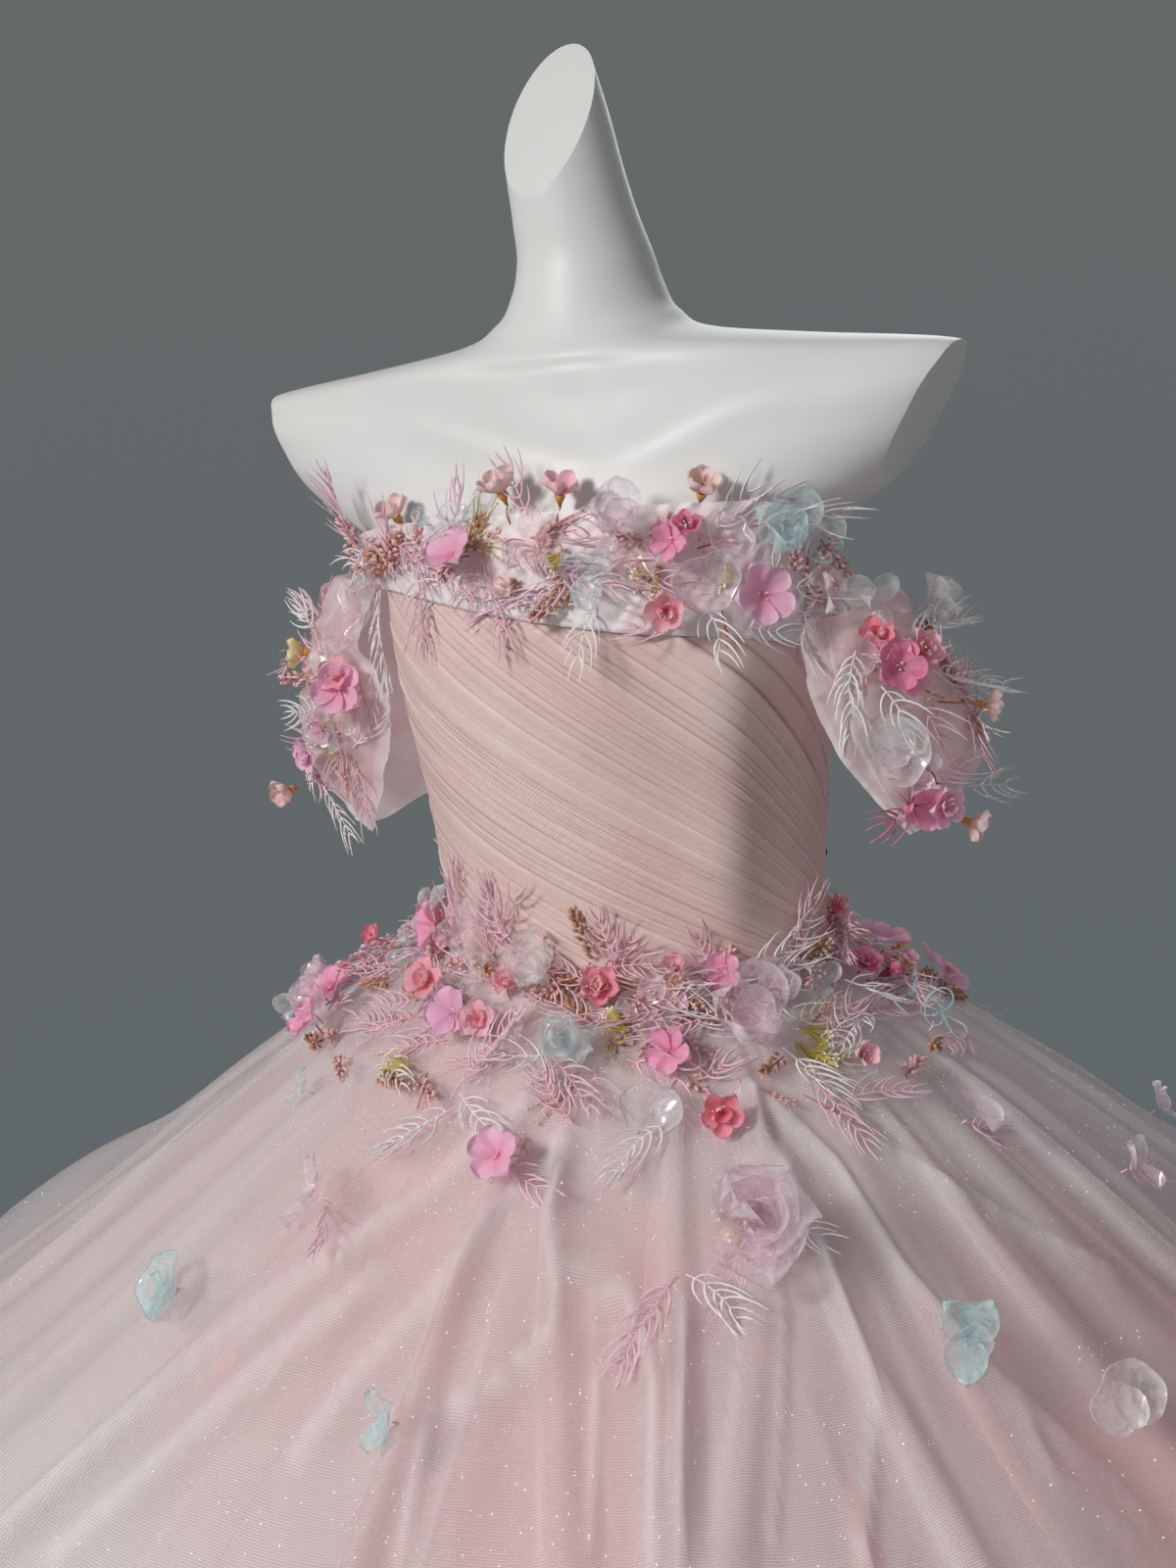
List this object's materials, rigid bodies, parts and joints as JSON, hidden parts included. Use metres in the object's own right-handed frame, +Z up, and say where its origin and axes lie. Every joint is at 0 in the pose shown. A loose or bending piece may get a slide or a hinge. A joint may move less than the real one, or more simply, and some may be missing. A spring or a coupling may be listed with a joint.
{
  "type": "ball gown on a limbless dress form",
  "caption": "Off-shoulder ball gown with a pleated bodice, loose sleeve bands, a wide layered tulle skirt and flower trims, worn by a limbless dress form on a stand.",
  "frame": {"origin": "centre of the stand base's underside, on the floor", "axes": "+Z up, -Y to the wearer's front, +X to the wearer's left"},
  "size_m": [1.967, 1.8784, 1.5842],
  "materials": {
    "form_white": "smooth satin white",
    "stand_metal": "brushed",
    "bodice_tulle": "fine ribbed net in soft draped pleats",
    "organza": "sheer, crisp",
    "skirt_tulle": "sheer net with fine glitter",
    "underskirt_pink": "matt net",
    "flowers": "matt cloth and preserved flowers",
    "clear_petal": "clear, lightly tinted petals with bright rims"
  },
  "bodies": {
    "root": {"stand_base": "stand_metal", "stand_pole": "stand_metal", "form_torso": "form_white", "bodice_front": "bodice_tulle", "bodice_wrap_panel": "bodice_tulle", "bodice_back_right": "bodice_tulle", "bodice_back_left": "bodice_tulle", "neckline_band_front": "organza", "neckline_band_back_right": "organza", "neckline_band_back_left": "organza", "sleeve_right": "organza", "sleeve_left": "organza", "overskirt_gore_1": "skirt_tulle", "overskirt_gore_2": "skirt_tulle", "overskirt_gore_3": "skirt_tulle", "overskirt_gore_4": "skirt_tulle", "overskirt_gore_5": "skirt_tulle", "overskirt_gore_6": "skirt_tulle", "underskirt_panel_1": "underskirt_pink", "underskirt_panel_2": "underskirt_pink", "underskirt_panel_3": "underskirt_pink", "underskirt_panel_4": "underskirt_pink", "neckline_garland_right": "flowers", "neckline_garland_left": "flowers", "sleeve_garland_right": "flowers", "sleeve_garland_left": "flowers", "waist_garland_1": "flowers", "waist_garland_2": "flowers", "waist_garland_3": "flowers", "waist_garland_4": "flowers", "waist_garland_5": "flowers", "waist_garland_6": "flowers", "skirt_applique_01": "flowers", "skirt_applique_02": "clear_petal", "skirt_applique_03": "flowers", "skirt_applique_04": "clear_petal", "skirt_applique_05": "flowers", "skirt_applique_06": "clear_petal", "skirt_applique_07": "flowers", "skirt_applique_08": "clear_petal", "skirt_applique_09": "flowers", "skirt_applique_10": "clear_petal", "skirt_applique_11": "flowers", "skirt_applique_12": "clear_petal", "skirt_applique_13": "flowers", "skirt_applique_14": "clear_petal", "skirt_applique_15": "flowers", "skirt_applique_16": "clear_petal", "skirt_applique_17": "flowers", "skirt_applique_18": "clear_petal", "skirt_applique_19": "flowers"}
  },
  "joints": []
}
